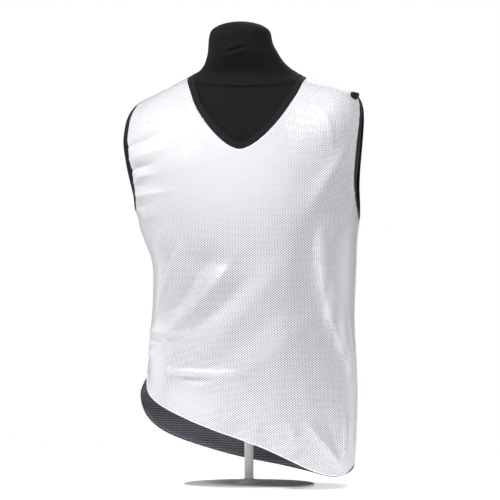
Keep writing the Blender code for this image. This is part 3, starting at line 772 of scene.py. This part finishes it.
def rib_binding(colours, knit):
    """Flat polyester rib tape: dense and matte, with fine ribs that catch a little light."""
    made, tree, shader = new_material("black rib binding")
    place = add_node(tree, "TexCoord").outputs["Object"]
    grain = add_node(
        tree, "TexNoise", None, {"Vector": place, "Scale": 1 / knit.rib, "Detail": 1.0}
    )
    mask = add_node(
        tree, "MapRange", SMOOTH, {"Value": grain.outputs[0], "From Min": 0.35, "From Max": 0.65}
    )
    darker = tuple(part * 0.6 for part in colours.binding)
    base = add_node(
        tree,
        "Mix",
        RGB_MIX,
        {"Factor": mask.outputs[0], "A": (*darker, 1), "B": (*colours.binding, 1)},
    )
    bump = add_node(tree, "Bump", None, {"Height": grain.outputs[0], "Distance": KNIT_RELIEF})
    tree.links.new(base.outputs["Result"], shader.inputs["Base Color"])
    tree.links.new(bump.outputs[0], shader.inputs["Normal"])
    shader.inputs["Roughness"].default_value = 0.8
    shader.inputs["Specular IOR Level"].default_value = 0.3
    shader.inputs["Sheen Weight"].default_value = 0.06
    return made


def sewing_thread(name, shade):
    """Spun polyester thread and the cloth rolled under it, slightly glossier than the panel."""
    made, tree, shader = new_material(name)
    place = add_node(tree, "TexCoord").outputs["Object"]
    twist = add_node(tree, "TexNoise", None, {"Vector": place, "Scale": 1500.0, "Detail": 1.0})
    lighter = tuple(min(part * 1.15 + 0.01, 1) for part in shade)
    base = add_node(
        tree, "Mix", RGB_MIX, {"Factor": twist.outputs[0], "A": (*shade, 1), "B": (*lighter, 1)}
    )
    bump = add_node(tree, "Bump", None, {"Height": twist.outputs[0], "Distance": 0.0001})
    tree.links.new(base.outputs["Result"], shader.inputs["Base Color"])
    tree.links.new(bump.outputs[0], shader.inputs["Normal"])
    shader.inputs["Roughness"].default_value = 0.5
    return made


def black_jersey(colours, knit):
    """Cotton jersey stretched over foam: matte, with a faint nap at grazing angles."""
    made, tree, shader = new_material("black cotton jersey")
    place = add_node(tree, "TexCoord").outputs["Object"]
    stretched = add_node(tree, "Mapping", None, {"Vector": place, "Scale": (1.0, 1.0, 0.7)})
    grain = add_node(
        tree,
        "TexNoise",
        None,
        {"Vector": stretched.outputs[0], "Scale": 1 / knit.jersey, "Detail": 1.0},
    )
    mask = add_node(
        tree, "MapRange", SMOOTH, {"Value": grain.outputs[0], "From Min": 0.4, "From Max": 0.7}
    )
    lighter = tuple(part * 1.5 for part in colours.jersey)
    base = add_node(
        tree,
        "Mix",
        RGB_MIX,
        {"Factor": mask.outputs[0], "A": (*colours.jersey, 1), "B": (*lighter, 1)},
    )
    bump = add_node(tree, "Bump", None, {"Height": grain.outputs[0], "Distance": 0.0002})
    tree.links.new(base.outputs["Result"], shader.inputs["Base Color"])
    tree.links.new(bump.outputs[0], shader.inputs["Normal"])
    shader.inputs["Roughness"].default_value = 0.85
    shader.inputs["Specular IOR Level"].default_value = 0.22
    shader.inputs["Sheen Weight"].default_value = 0.03
    shader.inputs["Sheen Roughness"].default_value = 0.5
    return made


def powder_coat(colours):
    """Powder-coated steel: an even white skin with a faint orange peel."""
    made, tree, shader = new_material("white powder-coated steel")
    place = add_node(tree, "TexCoord").outputs["Object"]
    peel = add_node(tree, "TexNoise", None, {"Vector": place, "Scale": 700.0, "Detail": 2.0})
    darker = tuple(part * 0.96 for part in colours.paint)
    base = add_node(
        tree,
        "Mix",
        RGB_MIX,
        {"Factor": peel.outputs[0], "A": (*darker, 1), "B": (*colours.paint, 1)},
    )
    bump = add_node(tree, "Bump", None, {"Height": peel.outputs[0], "Distance": 0.00003})
    tree.links.new(base.outputs["Result"], shader.inputs["Base Color"])
    tree.links.new(bump.outputs[0], shader.inputs["Normal"])
    shader.inputs["Roughness"].default_value = 0.4
    return made


class PieceOperator(bpy.types.Operator):
    """Base of the operators that make pieces."""

    bl_idname = "bib.piece"
    bl_label = "Piece"

    @property
    def sizes(self):
        return bpy.context.scene.bib_cloth

    @property
    def knit(self):
        return bpy.context.scene.bib_knit

    @property
    def colours(self):
        return bpy.context.scene.bib_colours


# Each face's creases, and which way its flat cut runs for +X.
FACES = {"front": (FRONT_CREASES, 1), "back": (BACK_CREASES, -1)}
# The block of tape where the left armhole's binding ends meet: its size, its
# middle from the top of the binding, its tilt and its rounding.
JOIN_SIZE = (0.0120, 0.0300, 0.0112)
JOIN_PLACE = (0.0016, -0.0130, -0.0046)
JOIN_TILT = math.radians(9)
JOIN_ROUNDING = 0.0014
# Points no further than this below the highest one are the binding's top.
JOIN_TOP = 0.006


class BIB_OT_panels(PieceOperator):
    """Cuts, smooths and creases the white and black panels."""

    bl_idname = "bib.panels"
    bl_label = "Mesh panels"

    def execute(self, context):
        white = white_tricot(self.colours, self.knit)
        black = black_tricot(self.colours, self.knit)
        for face, (creases, sideways) in FACES.items():
            outer = new_piece(face + "_white_mesh", outer_skin(face + "_outer"), white)
            lay_flat(outer, sideways)
            apply_smoothing(outer, self.sizes.white_levels)
            paint_dot_light_and_shade(outer)
            creased = crease_panel(outer, creases)
            lining = new_piece(face + "_black_mesh", outer_skin(face + "_inner"), black)
            lay_flat(lining, sideways)
            apply_smoothing(lining, self.sizes.black_levels)
            follow_panel(lining, creased)
            for piece, slot, node in (
                (outer, "white_mesh", "_outer"),
                (lining, "black_mesh", "_inner"),
            ):
                give_thickness(piece, self.sizes.cloth)
                seat(piece, slot, face + node)
        return {"FINISHED"}


class BIB_OT_hems(PieceOperator):
    """Rolls the hems and closes the side and shoulder seams."""

    bl_idname = "bib.hems"
    bl_label = "Hems and seams"

    def execute(self, context):
        white = sewing_thread("white hem roll", self.colours.white_thread)
        black = sewing_thread("black hem roll", self.colours.binding)
        for face in FACES:
            for shade, slot, finish, radius in (
                ("white", "white_mesh", white, self.sizes.hem_roll),
                ("black", "black_mesh", black, self.sizes.black_hem_roll),
            ):
                panel = bpy.data.objects[f"{face}_{shade}_mesh"]
                line = resampled(hem_of(panel.data), ROLL_PITCH)
                seat(tube(f"{face}_{shade}_hem", line, radius, finish), slot)
        for run in edge_runs(bpy.data.objects["front_white_mesh"].data):
            middle = mean_of(run)
            if on_seam(run[len(run) // 2]):
                name = "shoulder_seam" if middle.z > SHOULDERS_FROM else "side_seam"
                name += "_right" if middle.x < 0 else "_left"
                line = resampled(run, ROLL_PITCH)
                seat(tube(name, line, self.sizes.seam, white), "white_mesh")
        return {"FINISHED"}


class BIB_OT_bands(PieceOperator):
    """Folds the bindings round the neck and armholes."""

    bl_idname = "bib.bands"
    bl_label = "Bindings"

    def execute(self, context):
        finish = rib_binding(self.colours, self.knit)
        for node in BAND_NODES:
            bm = bmesh_of(node)
            join_quads(bm)
            crease = bm.edges.layers.float.new("crease_edge")
            for edge in bm.edges:
                if edge.calc_face_angle(0) > FOLD_BEND:
                    edge[crease] = 1.0
            piece = new_piece(node.replace("band", "binding"), bm, finish)
            apply_smoothing(piece, 2)
            rounded = piece.modifiers.new("folded edges", "BEVEL")
            rounded.width = self.sizes.fold
            rounded.segments = 3
            rounded.limit_method = "ANGLE"
            rounded.angle_limit = FOLD_BEND
            seat(piece, "black_binding", node)
        self.add_join(finish)
        self.add_stitches()
        return {"FINISHED"}

    def add_stitches(self):
        """Sews each binding down along the edges of the front and the back."""
        finish = sewing_thread("black sewing thread", self.colours.stitching)
        bodies = {node: bmesh.new() for node in BAND_NODES}
        bands = {}
        for node in BAND_NODES:
            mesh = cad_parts[node].data
            points = [vert.co for vert in mesh.vertices]
            bands[node] = BVHTree.FromPolygons(points, [face.vertices for face in mesh.polygons])
        for face in FACES:
            panel = bpy.data.objects[face + "_white_mesh"].data
            inner = bmesh.new()
            inner.from_mesh(panel)
            inside = tree_of([vert.co.copy() for vert in inner.verts if not vert.is_boundary])
            inner.free()
            for run in edge_runs(panel):
                middle = run[len(run) // 2]
                node = min(BAND_NODES, key=lambda name: bands[name].find_nearest(middle)[3])
                if bands[node].find_nearest(middle)[3] < BESIDE_BAND:
                    line = resampled(run, self.sizes.stitch_pitch)
                    stitch_row(bodies[node], line, inside, bands[node], self.sizes)
        for node, bm in bodies.items():
            seat(new_piece(node.replace("band", "stitches"), bm, finish), "black_binding")

    def add_join(self, finish):
        """The tape turned over itself where the binding's ends meet on the wearer's left."""
        points = points_of(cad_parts["armhole_band_left"].data)
        top = points[points[:, 2] > points[:, 2].max() - JOIN_TOP].mean(axis=0)
        bm = bmesh.new()
        bmesh.ops.create_cube(bm, size=1.0)
        bmesh.ops.scale(bm, verts=bm.verts, vec=JOIN_SIZE)
        bmesh.ops.rotate(bm, verts=bm.verts, matrix=Matrix.Rotation(JOIN_TILT, 3, "Y"))
        bmesh.ops.translate(bm, verts=bm.verts, vec=Vector(top) + Vector(JOIN_PLACE))
        bmesh.ops.bevel(
            bm,
            geom=bm.edges,
            offset=JOIN_ROUNDING,
            segments=3,
            profile=0.5,
            affect="EDGES",
            material=-1,
        )
        seat(new_piece("armhole_binding_join_left", bm, finish), "black_binding")


class BIB_OT_form(PieceOperator):
    """Covers the dress form in jersey."""

    bl_idname = "bib.form"
    bl_label = "Dress form"

    def execute(self, context):
        bm = bmesh_of("dress_form")
        join_quads(bm)
        neck = [
            edge for edge in bm.edges if all(vert.co.z > NECK_CUTS_FROM for vert in edge.verts)
        ]
        bmesh.ops.subdivide_edges(bm, edges=neck, cuts=1, use_grid_fill=True, smooth=1.0)
        piece = new_piece("jersey_form", bm, black_jersey(self.colours, self.knit))
        apply_smoothing(piece, 2)
        points = points_of(piece.data)
        above = points[:, 2] - (NECK_SEAM_HEIGHT + NECK_SEAM_SLOPE * points[:, 1])
        rise = np.clip(above / NECK_LIP_RISE, 0, 1)
        lip = NECK_LIP * rise * np.exp(-np.clip(above, 0, None) / NECK_LIP_FADE)
        tucks = crease_lift(points, NECK_CREASES, NECK_OVAL)
        set_points(piece.data, points + normals_of(piece.data) * (lip + tucks)[:, None])
        seat(piece, "black_jersey", "dress_form")
        return {"FINISHED"}


class BIB_OT_stand(PieceOperator):
    """Paints the pole and the plate."""

    bl_idname = "bib.stand"
    bl_label = "Stand"

    def execute(self, context):
        paint = powder_coat(self.colours)
        for node in ("stand_pole", "stand_base"):
            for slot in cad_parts[node].material_slots:
                slot.material = paint
        return {"FINISHED"}


# The lamps: name, the setting that holds the power, size, place and aim.
LAMPS = (
    ("key", "key", 0.6, (-1.25, -1.25, 2.10), (0, 0, 0.40)),
    ("chest", "chest", 0.6, (0.70, -1.00, 1.50), (0.12, 0, 0.62)),
    ("fill", "fill", 1.0, (0.1, -2.6, 0.4), (0, 0, 0.05)),
    ("edge right", "edge", 0.9, (-1.7, 0.7, 0.6), (0, 0, 0.42)),
    ("edge left", "edge", 0.9, (1.7, 0.9, 0.6), (0, 0, 0.42)),
    ("back", "back", 1.4, (0.6, 2.6, 1.9), (0, 0, 0.40)),
)
# The floor fades into the white behind it between these distances from the pole.
FLOOR_RADIUS = 2.2
FLOOR_FADE_FROM = 0.2
FLOOR_FADE_TO = 1.2
# A cool white that lights the part from all round.
SKY_COLOUR = (0.92, 0.93, 1.0, 1)


class BIB_OT_stage(PieceOperator):
    """Sets the pale floor, the soft lights and the camera."""

    bl_idname = "bib.stage"
    bl_label = "Stage"

    def execute(self, context):
        stage = context.scene.bib_stage
        self.add_floor()
        for name, setting, size, place, aim in LAMPS:
            self.add_light(name, getattr(stage, setting), size, place, aim)
        self.set_sky(stage.sky)
        self.add_camera(stage)
        context.scene.view_settings.view_transform = "Standard"
        return {"FINISHED"}

    def add_floor(self):
        bm = bmesh.new()
        bmesh.ops.create_circle(bm, cap_ends=True, segments=96, radius=FLOOR_RADIUS)
        made, tree, shader = new_material("matte white sweep")
        place = add_node(tree, "TexCoord").outputs["Object"]
        away = add_node(tree, "VectorMath", {"operation": "LENGTH"}, {0: place})
        fade = add_node(
            tree,
            "MapRange",
            SMOOTH,
            {
                "Value": away.outputs["Value"],
                "From Min": FLOOR_FADE_FROM,
                "From Max": FLOOR_FADE_TO,
                "To Min": 1.0,
                "To Max": 0.0,
            },
        )
        tree.links.new(fade.outputs[0], shader.inputs["Alpha"])
        shader.inputs["Base Color"].default_value = (*self.colours.floor, 1)
        shader.inputs["Emission Color"].default_value = (1, 1, 1, 1)
        shader.inputs["Emission Strength"].default_value = 0.6
        shader.inputs["Roughness"].default_value = 0.9
        shader.inputs["Specular IOR Level"].default_value = 0.1
        floor = new_piece("floor", bm, made)

    def add_light(self, name, power, size, place, aim):
        light = bpy.data.lights.new(name, "AREA")
        light.energy = power
        light.size = size
        lamp = bpy.data.objects.new(name, light)
        lamp.location = place
        lamp.rotation_euler = (Vector(aim) - Vector(place)).to_track_quat("-Z", "Y").to_euler()
        bpy.context.scene.collection.objects.link(lamp)

    def set_sky(self, strength):
        world = bpy.data.worlds.new("sky")
        world.use_nodes = True
        tree = world.node_tree
        even = tree.nodes["Background"]
        even.inputs["Color"].default_value = SKY_COLOUR
        even.inputs["Strength"].default_value = strength
        backdrop = add_node(tree, "Background", None, {"Color": (1, 1, 1, 1), "Strength": 1.0})
        seen = add_node(tree, "LightPath").outputs["Is Camera Ray"]
        mixed = add_node(
            tree, "MixShader", None, {0: seen, 1: even.outputs[0], 2: backdrop.outputs[0]}
        )
        tree.links.new(mixed.outputs[0], tree.nodes["World Output"].inputs["Surface"])
        bpy.context.scene.world = world

    def add_camera(self, stage):
        data = bpy.data.cameras.new("camera")
        camera = bpy.data.objects.new("camera", data)
        bpy.context.scene.collection.objects.link(camera)
        right = Vector((math.cos(stage.azimuth), math.sin(stage.azimuth), 0))
        back = Vector((math.sin(stage.azimuth), -math.cos(stage.azimuth), 0))
        up = Vector((0, 0, stage.height))
        camera.location = right * stage.aside + back * stage.distance + up
        camera.rotation_euler = (math.radians(90), 0, stage.azimuth)
        data.sensor_width = 36
        data.lens = data.sensor_width * stage.distance / stage.view_width
        data.clip_end = 100
        bpy.context.scene.camera = camera


class BIB_PT_panel(bpy.types.Panel):
    bl_label = "Training bib"
    bl_idname = "BIB_PT_panel"
    bl_space_type = "VIEW_3D"
    bl_region_type = "UI"
    bl_category = "Bib"

    def draw(self, context):
        layout = self.layout
        for group in GROUPS:
            box = layout.box()
            settings = getattr(context.scene, group)
            for name in settings.bl_rna.properties.keys():
                if name not in ("rna_type", "name"):
                    box.prop(settings, name)
        for operator in OPERATORS:
            layout.operator(operator.bl_idname)


GROUPS = {
    "bib_cloth": BibClothSizes,
    "bib_knit": BibKnitSizes,
    "bib_colours": BibColours,
    "bib_stage": BibStage,
}
OPERATORS = (BIB_OT_panels, BIB_OT_hems, BIB_OT_bands, BIB_OT_form, BIB_OT_stand, BIB_OT_stage)


def register():
    for name, group in GROUPS.items():
        bpy.utils.register_class(group)
        setattr(bpy.types.Scene, name, PointerProperty(type=group))
    for operator in OPERATORS:
        bpy.utils.register_class(operator)
    bpy.utils.register_class(BIB_PT_panel)


def unregister():
    bpy.utils.unregister_class(BIB_PT_panel)
    for operator in reversed(OPERATORS):
        bpy.utils.unregister_class(operator)
    for name, group in GROUPS.items():
        delattr(bpy.types.Scene, name)
        bpy.utils.unregister_class(group)


def main():
    register()
    bpy.ops.bib.panels()
    bpy.ops.bib.hems()
    bpy.ops.bib.bands()
    bpy.ops.bib.form()
    bpy.ops.bib.stand()
    bpy.ops.bib.stage()


if __name__ == "__main__":
    main()
